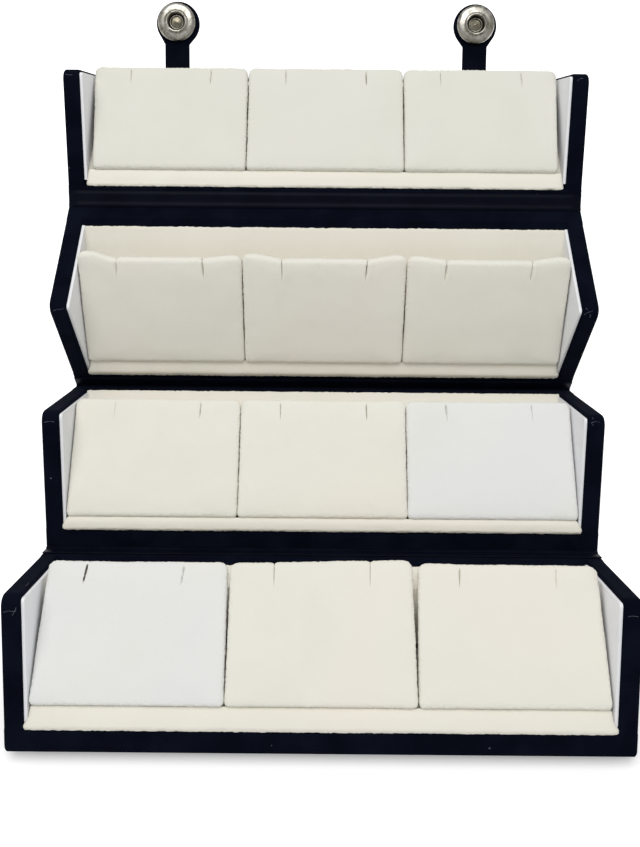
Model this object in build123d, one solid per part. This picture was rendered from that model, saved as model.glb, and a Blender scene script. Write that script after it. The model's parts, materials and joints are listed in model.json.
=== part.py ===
from build123d import *
from math import asin, atan2, cos, degrees, hypot, radians, sin, tan
import os

# A folding earring box, shown unrolled. Four trays hang together in a chain by cloth hinges
# and roll up into a closed box of square section, which two snap straps hold shut.
# Each tray is a triangular trough: a long outer wall, two right-angled triangular cheeks,
# a padded ledge along its lower edge and three slanted pads with slits for earrings.
#
# A tray is drawn in its own frame and then turned into its place in the chain:
# X runs along the hinges, Y runs up the outer wall from its lower hinge line,
# and Z points from the outer face into the trough.
# The whole part stands on the outer wall of tray 3, with the origin at the middle of that face.
# Tray 4 is in front of it, trays 2 and 1 climb behind it. All lengths are in millimetres.

# Tray body
WIDTH = 200.0
HINGE_PITCH = 72.0
HINGE_INSET = 1.0
WALL_THICK = 5.6
CHEEK_THICK = 6.3
CHEEK_APEX_RADIUS = 4.0
CLOSING_GAP = 0.3
WALL_BEVEL = 3.0
WALL_RIM_ROUND = 0.6
WALL_CORNER_RADIUS = 2.0
CHEEK_RIM_ROUND = 1.0
WALL_LINING_THICK = 1.2
WALL_LINING_SETBACK = 2.0
WALL_LINING_ROUND = 0.7
CHEEK_LINING_THICK = 1.0
CHEEK_LINING_MARGIN = 1.6
CHEEK_LINING_APEX_RADIUS = 1.2

# Hinge cloth
BEAD_RADIUS = 0.8
BEAD_CLEARANCE = 0.3
LEAF_THICK = 0.5
LEAF_LENGTH = 5.0
LEAF_DEPTH = 0.25
CLOTH_SETBACK = 1.0

# Ledge along the lower edge
LEDGE_FACE = 6.8
LEDGE_SLOPE = 20.0
LEDGE_FOOT = 0.2
LEDGE_LIP = 0.8
LEDGE_ROUND = 0.3
LEDGE_END_GAP = 0.4

# Pads
PADS_PER_TRAY = 3
PAD_HEIGHT = 45.5
PAD_THICK = 4.4
PAD_SLANT = 17.0
PAD_CORNER = 3.0
PAD_EDGE_ROUND = 1.5
PAD_BACK_ROUND = 0.6
PAD_CROWN = 0.8
PAD_SIDE_DRAW = 0.5
PAD_GAP = 0.5
PAD_SIDE_GAP = 0.4
PAD_SEAT_GAP = 0.3
SLIT_LENGTH = 7.5
SLIT_WIDTH = 0.8
SLIT_SPACING = 32.0
REST_START = 24.0
REST_LENGTH = 8.0
REST_END_GAP = 2.0

# Straps and snaps
STRAP_SPACING = 128.0
STRAP_WIDTH = 10.4
STRAP_THICK = 1.8
STRAP_ROUND = 0.5
STRAP_GLUED = 24.0
STRAP_CORNER_GAP = 0.3
STRAP_TO_SNAP = 22.8
STRAP_HEAD_RADIUS = 8.7
STRAP_NECK_RADIUS = 5.0
SOCKET_RADIUS = 8.0
SOCKET_HEIGHT = 3.0
SOCKET_FLOOR = 0.4
SOCKET_HOLE_RADIUS = 3.3
SOCKET_COLLAR = 1.3
SOCKET_COLLAR_FOOT = 0.8
SOCKET_DISH = 0.7
SOCKET_DISH_FALL = 0.2
SOCKET_RIM_RUN = 1.0
SOCKET_RIM_FALL = 0.4
CAP_RADIUS = 7.5
CAP_EDGE_HEIGHT = 0.8
CAP_HEIGHT = 1.3
CAP_RIM_RUN = 0.5
CAP_CROWN_RADIUS = 3.8
CAP_CROWN_FALL = 0.1
POST_RADIUS = 2.2
POST_CLEARANCE = 0.05
STUD_BASE_RADIUS = 5.5
STUD_BASE_HEIGHT = 0.6
STUD_HEIGHT = 3.4
STUD_NECK_RADIUS = 1.8
STUD_HEAD_RADIUS = 2.3
STUD_HEAD_HEIGHT = 1.6
STUD_BEVEL = 0.4
SNAP_CLEARANCE = 0.2

# How far each joint is folded at rest, counted from flat or straight towards closed
FOLD_TRAY_2 = 46.3
FOLD_TRAY_1 = -42.7
FOLD_STRAP = 38.0

# Values that follow from the sizes
CHEEK_INNER = WIDTH / 2 - CHEEK_THICK
LINED_INNER = CHEEK_INNER - CHEEK_LINING_THICK
MITRE_RUN = WALL_THICK - HINGE_INSET + CLOSING_GAP
LINING_TOP = WALL_THICK + WALL_LINING_THICK
PADS_WIDTH = 2 * (LINED_INNER - PAD_SIDE_GAP) - (PADS_PER_TRAY - 1) * PAD_GAP
PAD_WIDTH = PADS_WIDTH / PADS_PER_TRAY
GROOVE_RADIUS = BEAD_RADIUS + BEAD_CLEARANCE

# Points closer than this count as one place when edges are picked
TOUCH = 1e-4


def mitre_height(run):
    """Height of the lower mitre plane above the outer face, at this distance up the wall."""
    return HINGE_INSET + run - CLOSING_GAP


def bar(points, low_x, high_x):
    """A prism along X with a section given as (Y, Z) points."""
    section = make_face(Polyline(*points, close=True))
    return extrude(Plane.YZ.offset(low_x) * section, amount=high_x - low_x)


def rod(run, height, radius, low_x, high_x):
    """A round bar along X."""
    return extrude(Plane.YZ.offset(low_x) * Pos(run, height) * Circle(radius), amount=high_x - low_x)


def edges_at_x(solid, places):
    """The edges that lie wholly in planes across X at these places."""
    found = []
    for edge in solid.edges():
        box = edge.bounding_box()
        for place in places:
            if abs(box.min.X - place) < TOUCH and abs(box.max.X - place) < TOUCH:
                found.append(edge)
    return found


def outer_wall(hinged_low, hinged_high, rebate_low, rebate_high):
    """The long board, mitred along both edges, with round corners along an edge without a hinge."""
    low_edge = [(WALL_BEVEL, 0), (CLOSING_GAP, HINGE_INSET), (MITRE_RUN, WALL_THICK)]
    high_edge = [(HINGE_PITCH - run, height) for run, height in reversed(low_edge)]
    board = bar(low_edge + high_edge, -WIDTH / 2, WIDTH / 2)
    rim = [e for e in edges_at_x(board, (-WIDTH / 2, WIDTH / 2)) if e.center().Z < WALL_THICK - TOUCH]
    board = fillet(rim, WALL_RIM_ROUND)
    low = -WALL_CORNER_RADIUS if hinged_low else 0
    high = HINGE_PITCH + WALL_CORNER_RADIUS if hinged_high else HINGE_PITCH
    plan = Pos(0, (low + high) / 2) * RectangleRounded(WIDTH, high - low, WALL_CORNER_RADIUS)
    board &= extrude(plan, amount=WALL_THICK)
    for hinged, run in ((hinged_low, 0), (hinged_high, HINGE_PITCH)):
        if hinged:
            board -= rod(run, HINGE_INSET, GROOVE_RADIUS, -WIDTH, WIDTH)
    depth = LEAF_DEPTH + LEAF_THICK
    for rebated, run in ((rebate_low, 0), (rebate_high, HINGE_PITCH)):
        if rebated:
            board -= Pos(0, run, 0) * Box(2 * WIDTH, 2 * LEAF_LENGTH, 2 * depth)
    return board


def hinge_cloth(run, side):
    """The cloth of one hinge: a rolled fold on the hinge line and a leaf let into the wall."""
    half = WIDTH / 2 - CLOTH_SETBACK
    low, high = sorted((run, run + side * LEAF_LENGTH))
    leaf_low = LEAF_DEPTH
    leaf_high = LEAF_DEPTH + LEAF_THICK
    leaf = bar([(low, leaf_low), (high, leaf_low), (high, leaf_high), (low, leaf_high)], -half, half)
    return rod(run, HINGE_INSET, BEAD_RADIUS, -half, half) + leaf


def trough_section(margin, base, apex_radius):
    """The right-angled section of a tray inside its mitre planes, as a face in Y and Z."""
    low = base - HINGE_INSET + CLOSING_GAP + margin
    peak = mitre_height(HINGE_PITCH / 2) - margin
    points = [(low, base), (HINGE_PITCH - low, base), (HINGE_PITCH / 2, peak)]
    face = make_face(Polyline(*points, close=True))
    apex = face.vertices().sort_by(Axis.Y)[-1]
    return fillet(apex, apex_radius)


def cheek(side):
    """One triangular end board, rounded where velvet wraps its rim."""
    low_x = min(side * CHEEK_INNER, side * WIDTH / 2)
    section = trough_section(0, WALL_THICK, CHEEK_APEX_RADIUS)
    board = extrude(Plane.YZ.offset(low_x) * section, amount=CHEEK_THICK)
    ends = edges_at_x(board, (low_x, low_x + CHEEK_THICK))
    return fillet([e for e in ends if e.center().Z > WALL_THICK + TOUCH], CHEEK_RIM_ROUND)


def cheek_lining(side):
    """The smooth sheet glued to the inner face of one cheek."""
    low_x = min(side * LINED_INNER, side * CHEEK_INNER)
    section = trough_section(CHEEK_LINING_MARGIN, LINING_TOP, CHEEK_LINING_APEX_RADIUS)
    return extrude(Plane.YZ.offset(low_x) * section, amount=CHEEK_LINING_THICK)


def ledge_points():
    """The section of the ledge, from the foot of its lip round to its back."""
    foot = MITRE_RUN + LEDGE_FOOT
    lip_run = MITRE_RUN + LEDGE_LIP
    lip_height = mitre_height(lip_run)
    back_run = lip_run + LEDGE_FACE * cos(radians(LEDGE_SLOPE))
    back_height = lip_height + LEDGE_FACE * sin(radians(LEDGE_SLOPE))
    return [(foot, WALL_THICK), (lip_run, lip_height), (back_run, back_height), (back_run, WALL_THICK)]


def ledge():
    """The padded strip that the pads stand behind."""
    half = LINED_INNER - LEDGE_END_GAP
    strip = bar(ledge_points(), -half, half)
    soft = [e for e in strip.edges() if e.center().Z > WALL_THICK + TOUCH]
    return fillet(soft, LEDGE_ROUND)


def wall_lining():
    """The padded sheet on the inner face of the outer wall, from the ledge to the upper mitre."""
    low = ledge_points()[-1][0]
    high = HINGE_PITCH - MITRE_RUN - WALL_LINING_SETBACK
    points = [(low, WALL_THICK), (high, WALL_THICK), (high, LINING_TOP), (low, LINING_TOP)]
    sheet = bar(points, -CHEEK_INNER, CHEEK_INNER)
    top_edge = sheet.edges().filter_by(Axis.X).group_by(Axis.Z)[-1].sort_by(Axis.Y)[-1]
    return fillet(top_edge, WALL_LINING_ROUND)


def pad_seat():
    """Where the lower back edge of every pad stands, clear of the ledge and the lining."""
    back_run, back_height = ledge_points()[2]
    height = LINING_TOP + PAD_SEAT_GAP
    run = back_run + PAD_SEAT_GAP + (back_height - height) * tan(radians(PAD_SLANT))
    return run, height


def pad():
    """One pad lying face up, its back lower edge along X at the origin."""
    half = PAD_WIDTH / 2
    drawn = half - PAD_SIDE_DRAW
    left = ThreePointArc((-half, 0), (-drawn, PAD_HEIGHT / 2), (-half, PAD_HEIGHT))
    right = ThreePointArc((half, PAD_HEIGHT), (drawn, PAD_HEIGHT / 2), (half, 0))
    bottom = Line((half, 0), (-half, 0))
    top = Line((-half, PAD_HEIGHT), (half, PAD_HEIGHT))
    outline = make_face([bottom, left, top, right])
    outline = fillet(outline.vertices(), PAD_CORNER)
    block = extrude(outline, amount=PAD_THICK + PAD_CROWN)
    crown_radius = (half**2 + PAD_CROWN**2) / (2 * PAD_CROWN)
    ball = Pos(0, PAD_HEIGHT / 2, PAD_THICK - crown_radius) * Rot(90, 0, 0) * Sphere(crown_radius)
    block = (block & ball).solid()
    front = block.faces().sort_by(Axis.Z)[-1]
    block = fillet(front.edges(), PAD_EDGE_ROUND).solid()
    back = block.faces().sort_by(Axis.Z)[0]
    block = fillet(back.edges(), PAD_BACK_ROUND).solid()
    slit = Box(SLIT_WIDTH, 2 * SLIT_LENGTH, 4 * PAD_THICK)
    slits = [Pos(side * SLIT_SPACING / 2, PAD_HEIGHT, 0) * slit for side in (-1, 1)]
    return block.cut(*slits).solid()


def pads():
    """The row of slanted pads of one tray, from left to right."""
    run, height = pad_seat()
    row = []
    for index in range(PADS_PER_TRAY):
        x = (index - (PADS_PER_TRAY - 1) / 2) * (PAD_WIDTH + PAD_GAP)
        row.append(Location((x, run, height), (PAD_SLANT, 0, 0)) * pad())
    return row


def pad_rest():
    """The strip on the wall lining that holds the pads off the wall."""
    run, height = pad_seat()
    slant = radians(PAD_SLANT)
    points = []
    for along in (REST_START, REST_START + REST_LENGTH):
        foot_run = run + along * cos(slant)
        top_height = height + (foot_run - run) * tan(slant) - PAD_SEAT_GAP / cos(slant)
        points.append((foot_run, top_height))
    (low, low_top), (high, high_top) = points
    half = LINED_INNER - REST_END_GAP
    return bar([(low, LINING_TOP), (high, LINING_TOP), (high, high_top), (low, low_top)], -half, half)


def strap_axis():
    """The fold line of both straps, in the frame of tray 1."""
    run = HINGE_PITCH + HINGE_INSET + STRAP_CORNER_GAP + STRAP_THICK / 2
    return run, -STRAP_THICK / 2


def closed_strap():
    """The strap's fold when it is snapped shut, and the stud's distance up the wall of tray 4."""
    axis_run, axis_height = strap_axis()
    collar_run = STRAP_TO_SNAP - SOCKET_HOLE_RADIUS - SOCKET_COLLAR
    collar_height = STRAP_THICK / 2 + SOCKET_HEIGHT
    stand_off = STUD_BASE_HEIGHT + SNAP_CLEARANCE - STRAP_CORNER_GAP - STRAP_THICK / 2
    slope = atan2(collar_height, collar_run) + asin(stand_off / hypot(collar_height, collar_run))
    snap_height = axis_height + STRAP_TO_SNAP * cos(slope) + STRAP_THICK / 2 * sin(slope)
    return 90 - degrees(slope), snap_height - HINGE_INSET


def strap_anchor():
    """The fixed end of a strap, glued to the outer face of tray 1, with its fold as a round bead."""
    axis_run, axis_height = strap_axis()
    low = HINGE_PITCH - STRAP_GLUED
    points = [(low, -STRAP_THICK), (axis_run, -STRAP_THICK), (axis_run, 0), (low, 0)]
    strip = bar(points, -STRAP_WIDTH / 2, STRAP_WIDTH / 2)
    return strip + rod(axis_run, axis_height, STRAP_THICK / 2, -STRAP_WIDTH / 2, STRAP_WIDTH / 2)


def strap_flap():
    """The free end of a strap, straight up from its fold line at the origin."""
    start = STRAP_THICK / 2 + BEAD_CLEARANCE
    neck = Pos(0, (start + STRAP_TO_SNAP) / 2) * Rectangle(STRAP_WIDTH, STRAP_TO_SNAP - start)
    outline = neck + Pos(0, STRAP_TO_SNAP) * Circle(STRAP_HEAD_RADIUS)
    necks = [v for v in outline.vertices() if start + TOUCH < v.Y < STRAP_TO_SNAP - TOUCH]
    outline = fillet(necks, STRAP_NECK_RADIUS)
    flap = extrude(outline, amount=STRAP_THICK / 2, both=True)
    flap = fillet(flap.faces().sort_by(Axis.Z)[-1].edges(), STRAP_ROUND)
    flap = fillet(flap.faces().sort_by(Axis.Z)[0].edges(), STRAP_ROUND)
    return flap - Pos(0, STRAP_TO_SNAP, 0) * Cylinder(POST_RADIUS + POST_CLEARANCE, 2 * STRAP_THICK)


def turned(points):
    """A round piece about Z, from the radius and height of its section's corners."""
    return revolve(Plane.XZ * make_face(Polyline(*points, close=True)), Axis.Z)


def snap_socket():
    """The snap's socket: a dished ring round a collared hole, standing on the strap."""
    collar = SOCKET_HOLE_RADIUS + SOCKET_COLLAR
    dish = SOCKET_HEIGHT - SOCKET_DISH
    points = [
        (0, 0),
        (SOCKET_RADIUS, 0),
        (SOCKET_RADIUS, dish - SOCKET_RIM_FALL),
        (SOCKET_RADIUS - SOCKET_RIM_RUN, dish),
        (collar + SOCKET_COLLAR_FOOT, dish - SOCKET_DISH_FALL),
        (collar, SOCKET_HEIGHT),
        (SOCKET_HOLE_RADIUS, SOCKET_HEIGHT),
        (SOCKET_HOLE_RADIUS, SOCKET_FLOOR),
        (0, SOCKET_FLOOR),
    ]
    return Pos(0, STRAP_TO_SNAP, STRAP_THICK / 2) * turned(points)


def snap_cap():
    """The snap's domed cap behind the strap, with the post that goes through it."""
    points = [
        (0, 0),
        (POST_RADIUS, 0),
        (POST_RADIUS, -STRAP_THICK),
        (CAP_RADIUS, -STRAP_THICK),
        (CAP_RADIUS - CAP_RIM_RUN, -STRAP_THICK - CAP_EDGE_HEIGHT),
        (CAP_CROWN_RADIUS, -STRAP_THICK - CAP_HEIGHT + CAP_CROWN_FALL),
        (0, -STRAP_THICK - CAP_HEIGHT),
    ]
    return Pos(0, STRAP_TO_SNAP, STRAP_THICK / 2) * turned(points)


def snap_stud():
    """The mating stud, standing out of the outer face, with that face at height zero."""
    points = [
        (0, 0),
        (STUD_BASE_RADIUS, 0),
        (STUD_BASE_RADIUS - STUD_BEVEL, -STUD_BASE_HEIGHT),
        (STUD_NECK_RADIUS, -STUD_BASE_HEIGHT),
        (STUD_NECK_RADIUS, STUD_HEAD_HEIGHT - STUD_HEIGHT),
        (STUD_HEAD_RADIUS, STUD_HEAD_HEIGHT / 2 - STUD_HEIGHT),
        (STUD_HEAD_RADIUS - STUD_BEVEL, -STUD_HEIGHT),
        (0, -STUD_HEIGHT),
    ]
    return turned(points)


def turn(point, fold):
    """A (Y, Z) point turned about X by this many degrees."""
    run, height = point
    angle = radians(fold)
    return run * cos(angle) - height * sin(angle), run * sin(angle) + height * cos(angle)


def place_from(hinge, tray_hinge, angle):
    """The place of a tray whose own hinge point lies on this hinge line, leaning at this angle."""
    run, height = turn(tray_hinge, angle)
    return Location((0, hinge[0] - run, hinge[1] - height), (angle, 0, 0))


# Where the chain stands. Tray 4 is propped by its two studs, so its lean follows from them.
LOW_HINGE = (0, HINGE_INSET)
HIGH_HINGE = (HINGE_PITCH, HINGE_INSET)
CLOSED_STRAP_FOLD, STUD_RUN = closed_strap()
stud_arm = (HINGE_PITCH - STUD_RUN, STUD_HEIGHT + HINGE_INSET)
TRAY_4_FOLD = degrees(atan2(stud_arm[1], stud_arm[0]) - asin(HINGE_INSET / hypot(*stud_arm)))
hinge_3_4 = (-HINGE_PITCH / 2, HINGE_INSET)
hinge_2_3 = (HINGE_PITCH / 2, HINGE_INSET)
lean_2 = FOLD_TRAY_2
lean_1 = FOLD_TRAY_2 + FOLD_TRAY_1
step = turn((HINGE_PITCH, 0), lean_2)
hinge_1_2 = (hinge_2_3[0] + step[0], hinge_2_3[1] + step[1])
places = {
    1: place_from(hinge_1_2, LOW_HINGE, lean_1),
    2: place_from(hinge_2_3, LOW_HINGE, lean_2),
    3: place_from(hinge_3_4, LOW_HINGE, 0),
    4: place_from(hinge_3_4, HIGH_HINGE, -TRAY_4_FOLD),
}

# One wall for each tray: hinged below and above, then rebated below and above
walls = {
    1: outer_wall(True, False, False, False),
    2: outer_wall(True, True, False, True),
    3: outer_wall(True, True, True, True),
    4: outer_wall(False, True, False, False),
}

nodes = {}
for number, place in places.items():
    tray = f"tray_{number}"
    nodes[f"{tray}_outer_wall"] = place * walls[number]
    nodes[f"{tray}_wall_lining"] = place * wall_lining()
    nodes[f"{tray}_ledge"] = place * ledge()
    nodes[f"{tray}_pad_rest"] = place * pad_rest()
    for side, name in ((-1, "left"), (1, "right")):
        nodes[f"{tray}_{name}_cheek"] = place * cheek(side)
        nodes[f"{tray}_{name}_lining"] = place * cheek_lining(side)
    for name, piece in zip(("left", "middle", "right"), pads()):
        nodes[f"{tray}_{name}_pad"] = place * piece

nodes["hinge_cloth_3_4"] = places[3] * hinge_cloth(0, 1)
nodes["hinge_cloth_2_3"] = places[3] * hinge_cloth(HINGE_PITCH, -1)
nodes["hinge_cloth_1_2"] = places[2] * hinge_cloth(HINGE_PITCH, -1)

axis_run, axis_height = strap_axis()
studs = []
for side, name in ((-1, "left"), (1, "right")):
    x = side * STRAP_SPACING / 2
    flap_place = places[1] * Location((x, axis_run, axis_height), (FOLD_STRAP, 0, 0))
    nodes[f"{name}_strap_anchor"] = places[1] * Pos(x, 0, 0) * strap_anchor()
    nodes[f"{name}_strap_flap"] = flap_place * strap_flap()
    nodes[f"{name}_snap_socket"] = flap_place * snap_socket()
    nodes[f"{name}_snap_cap"] = flap_place * snap_cap()
    studs.append(places[4] * Pos(x, STUD_RUN, 0) * snap_stud())
nodes["snap_studs"] = Compound(children=studs)

os.makedirs("parts", exist_ok=True)
for name, shape in nodes.items():
    export_step(shape, f"parts/{name}.step")

strap_point = places[1] * Pos(0, axis_run, axis_height)
print("nodes", len(nodes))
print("hinge_3_4", hinge_3_4, "hinge_2_3", hinge_2_3, "hinge_1_2", hinge_1_2)
print("strap fold line", tuple(strap_point.position), "leans", lean_2, lean_1)
print("tray 4 fold", TRAY_4_FOLD, "closed strap fold", CLOSED_STRAP_FOLD, "stud run", STUD_RUN)
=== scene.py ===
# %% [markdown]
# # A folding earring box, dressed for its picture
#
# The box is a chain of four triangular trays with cloth hinges between them. It comes from CAD as a
# frame of separate pieces that stay exactly where they are. This lesson gives the hard pieces their
# finish and builds every soft piece anew: twelve velvet pads, the padded ledges and linings, the
# hinge cloths and the two snap straps. All lengths are written in millimetres and turned into
# metres by one factor, because Blender works in metres.

# %% Load the frame
import json
import math
from collections import namedtuple

import bmesh
import bpy
from mathutils import Matrix, Vector, noise


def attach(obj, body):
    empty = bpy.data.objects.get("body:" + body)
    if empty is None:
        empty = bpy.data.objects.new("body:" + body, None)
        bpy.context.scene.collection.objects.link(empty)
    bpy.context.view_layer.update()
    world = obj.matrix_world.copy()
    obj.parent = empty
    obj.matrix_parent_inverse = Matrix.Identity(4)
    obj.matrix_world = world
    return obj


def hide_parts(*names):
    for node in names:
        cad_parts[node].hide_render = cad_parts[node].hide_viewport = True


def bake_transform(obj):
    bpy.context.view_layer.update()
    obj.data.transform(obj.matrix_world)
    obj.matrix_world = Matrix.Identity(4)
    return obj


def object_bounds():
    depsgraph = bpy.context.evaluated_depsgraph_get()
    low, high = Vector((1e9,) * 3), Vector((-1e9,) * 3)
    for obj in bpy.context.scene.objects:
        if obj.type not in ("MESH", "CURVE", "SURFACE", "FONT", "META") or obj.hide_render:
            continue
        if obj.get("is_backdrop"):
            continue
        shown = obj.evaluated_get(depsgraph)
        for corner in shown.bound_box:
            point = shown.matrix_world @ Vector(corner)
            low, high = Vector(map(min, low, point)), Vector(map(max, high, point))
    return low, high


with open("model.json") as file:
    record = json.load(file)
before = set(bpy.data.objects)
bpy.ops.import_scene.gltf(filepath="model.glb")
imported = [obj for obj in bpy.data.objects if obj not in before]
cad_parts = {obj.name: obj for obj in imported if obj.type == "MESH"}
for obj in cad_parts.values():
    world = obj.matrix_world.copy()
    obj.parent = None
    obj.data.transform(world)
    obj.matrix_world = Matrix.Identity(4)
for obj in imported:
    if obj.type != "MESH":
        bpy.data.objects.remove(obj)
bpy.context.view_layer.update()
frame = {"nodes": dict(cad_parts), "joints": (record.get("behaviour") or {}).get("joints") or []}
print("nodes in the frame:", len(frame["nodes"]))

# %% [markdown]
# Each tray is easiest to think of lying flat in its own frame: X runs along the hinges, Y runs up
# the long outer wall from its lower hinge, and Z points from the outer face into the trough. The
# joints say where the hinge lines are, and each hinge closes at a quarter turn, so the end of its
# range also tells how far the tray leans now. One matrix for each tray takes flat work to its
# place.

# %% Find where each tray stands
MM = 0.001
HINGE_PITCH = 72.0
HINGE_INSET = 1.0
joints = {joint["name"]: joint for joint in frame["joints"]}


def lean_of(joint):
    """The fold of a hinge at rest, from a range that ends at a quarter turn."""
    return 90 - joints[joint]["range_deg"][1]


def tray_place(joint, hinge_run, lean):
    """The matrix of a tray that turns on this joint with its hinge line at this run."""
    pivot = Matrix.Translation(joints[joint]["pos_m"])
    turned = Matrix.Rotation(math.radians(lean), 4, "X")
    return pivot @ turned @ Matrix.Translation((0, -hinge_run * MM, -HINGE_INSET * MM))


lean_2 = lean_of("tray_2_hinge")
lean_1 = lean_2 + lean_of("tray_1_hinge")
PLACES = {
    1: tray_place("tray_1_hinge", 0, lean_1),
    2: tray_place("tray_2_hinge", 0, lean_2),
    3: Matrix.Translation((0, -HINGE_PITCH / 2 * MM, 0)),
    4: tray_place("tray_4_hinge", HINGE_PITCH, -lean_of("tray_4_hinge")),
}
print("trays lean at", round(lean_1, 2), round(lean_2, 2), round(-lean_of("tray_4_hinge"), 2))

# %% [markdown]
# The camera comes before the pieces, so that each one can be judged in the picture's own frame. It
# looks down at the box from the front at about 55 degrees. The picture's optical centre is a little
# above its middle, which a small shift of the film gives without bending any upright line.

# %% Set up the camera
CAMERA_AT = (-1.3, -182.8, 321.1)
PITCH_DOWN = 55.1
ROLL = 0.51
FOCAL_IN_PIXELS = 956.0
PICTURE_HEIGHT = 847.0
CENTRE_ABOVE_MIDDLE = 45.5


def new_object(name, data):
    """An object in the scene with this data."""
    thing = bpy.data.objects.new(name, data)
    bpy.context.scene.collection.objects.link(thing)
    return thing


def mesh_of(name, bm):
    """A mesh with what is drawn, and the drawing is put away."""
    mesh = bpy.data.meshes.new(name)
    bm.to_mesh(mesh)
    bm.free()
    return mesh


camera_data = bpy.data.cameras.new("camera")
camera_data.sensor_width = 36.0
camera_data.lens = FOCAL_IN_PIXELS / PICTURE_HEIGHT * camera_data.sensor_width
camera_data.shift_y = -CENTRE_ABOVE_MIDDLE / PICTURE_HEIGHT
camera_data.clip_start = 0.01
camera = new_object("camera", camera_data)
camera.matrix_world = (
    Matrix.Translation(Vector(CAMERA_AT) * MM)
    @ Matrix.Rotation(math.radians(90 - PITCH_DOWN), 4, "X")
    @ Matrix.Rotation(math.radians(ROLL), 4, "Z")
)
bpy.context.scene.camera = camera
print("lens", round(camera_data.lens, 2), "mm")

# %% [markdown]
# Every finish is made of shader nodes, so that it needs no picture files. Small helpers add a node
# with its values, join nodes up and open a node group with its sockets. A group holds what several
# finishes share; here they only put out masks and normals, and each finish mixes its own colours
# from them.

# %% Helpers for shader nodes
def add_node(tree, kind, x, y, values=None, **options):
    """A new node at this place in the tree, with its options and the values of its sockets."""
    node = tree.nodes.new(kind)
    node.location = (x, y)
    for name, value in options.items():
        setattr(node, name, value)
    for socket, value in (values or {}).items():
        node.inputs[socket].default_value = value
    return node


def join(tree, *wires):
    """Joins nodes; each wire is a node, its output, the next node and its input."""
    for source, output, target, entry in wires:
        tree.links.new(source.outputs[output], target.inputs[entry])


def new_group(name, inputs, outputs):
    """An empty shader node group with its sockets, and its two end nodes."""
    group = bpy.data.node_groups.new(name, "ShaderNodeTree")
    for label, value in inputs.items():
        socket = group.interface.new_socket(label, in_out="INPUT", socket_type="NodeSocketFloat")
        socket.default_value = value
    for label, kind in outputs.items():
        group.interface.new_socket(label, in_out="OUTPUT", socket_type=kind)
    start = add_node(group, "NodeGroupInput", -900, 0)
    end = add_node(group, "NodeGroupOutput", 700, 0)
    return group, start, end


FLOAT = "NodeSocketFloat"
VECTOR = "NodeSocketVector"

# %% [markdown]
# Velvet is a cloth of short upright threads. Up close the thread ends are a fine grain, and from
# further off whole patches look lighter or darker where the pile leans another way. One group makes
# both: a fine noise for the grain, which also drives a bump, and a broad soft noise for the
# patches. A third, broader still, gives a mask for a faint cast of another colour, as handled
# velvet gets.

# %% The pile group
pile, pile_in, pile_out = new_group(
    "Pile",
    {"Grain": 2600.0, "Patch": 55.0, "Depth": 0.00006},
    {"Fibres": FLOAT, "Patches": FLOAT, "Casts": FLOAT, "Normal": VECTOR},
)
place = add_node(pile, "ShaderNodeTexCoord", -900, 300)
fibres = add_node(pile, "ShaderNodeTexNoise", -600, 200, {"Detail": 3.0, "Roughness": 0.65})
patches = add_node(pile, "ShaderNodeTexNoise", -600, -150, {"Detail": 3.0, "Distortion": 0.6})
spread = add_node(
    pile, "ShaderNodeMapRange", -300, -150, {"From Min": 0.3, "From Max": 0.7},
    interpolation_type="SMOOTHSTEP",
)
wider = add_node(pile, "ShaderNodeMath", -750, -450, {1: 0.45}, operation="MULTIPLY")
casts = add_node(pile, "ShaderNodeTexNoise", -600, -450, {"Detail": 1.0})
blush = add_node(
    pile, "ShaderNodeMapRange", -300, -450, {"From Min": 0.42, "From Max": 0.66},
    interpolation_type="SMOOTHSTEP",
)
nap = add_node(pile, "ShaderNodeBump", 300, 100, {"Strength": 0.6})
join(
    pile,
    (place, "Object", fibres, "Vector"),
    (place, "Object", patches, "Vector"),
    (place, "Object", casts, "Vector"),
    (pile_in, "Grain", fibres, "Scale"),
    (pile_in, "Patch", patches, "Scale"),
    (pile_in, "Patch", wider, 0),
    (pile_in, "Depth", nap, "Distance"),
    (fibres, "Fac", nap, "Height"),
    (patches, "Fac", spread, "Value"),
    (wider, "Value", casts, "Scale"),
    (casts, "Fac", blush, "Value"),
    (fibres, "Fac", pile_out, "Fibres"),
    (spread, "Result", pile_out, "Patches"),
    (blush, "Result", pile_out, "Casts"),
    (nap, "Normal", pile_out, "Normal"),
)
print("group:", pile.name)

# %% [markdown]
# Dark velvet picks up lint. A Voronoi pattern gives one point in each cell, and a small limit on
# the distance to it leaves a speck there. Its cell colour is random, so comparing that with a share
# keeps only some of the specks.

# %% The lint group
lint, lint_in, lint_out = new_group(
    "Lint", {"Cells": 240.0, "Size": 0.05, "Share": 0.2}, {"Specks": FLOAT}
)
place = add_node(lint, "ShaderNodeTexCoord", -900, 300)
cells = add_node(lint, "ShaderNodeTexVoronoi", -600, 100)
near = add_node(lint, "ShaderNodeMath", -300, 200, operation="LESS_THAN")
chosen = add_node(lint, "ShaderNodeMath", -300, -50, operation="LESS_THAN")
both = add_node(lint, "ShaderNodeMath", 100, 100, operation="MULTIPLY")
join(
    lint,
    (place, "Object", cells, "Vector"),
    (lint_in, "Cells", cells, "Scale"),
    (cells, "Distance", near, 0),
    (lint_in, "Size", near, 1),
    (cells, "Color", chosen, 0),
    (lint_in, "Share", chosen, 1),
    (near, "Value", both, 0),
    (chosen, "Value", both, 1),
    (both, "Value", lint_out, "Specks"),
)
print("group:", lint.name)

# %% [markdown]
# A finish starts from the Principled shader. The first helper below gives a material its plain
# values, and the finish then links in what changes over the surface. Values that are the same
# everywhere sit on the shader's own sockets, because an exported model keeps those.

# %% Helpers for finishes
def new_finish(name, **values):
    """A material with a Principled shader, its plain values set by socket name."""
    material = bpy.data.materials.new(name)
    material.use_nodes = True
    shader = material.node_tree.nodes["Principled BSDF"]
    for label, value in values.items():
        shader.inputs[label.replace("_", " ")].default_value = value
    return material, shader


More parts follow.
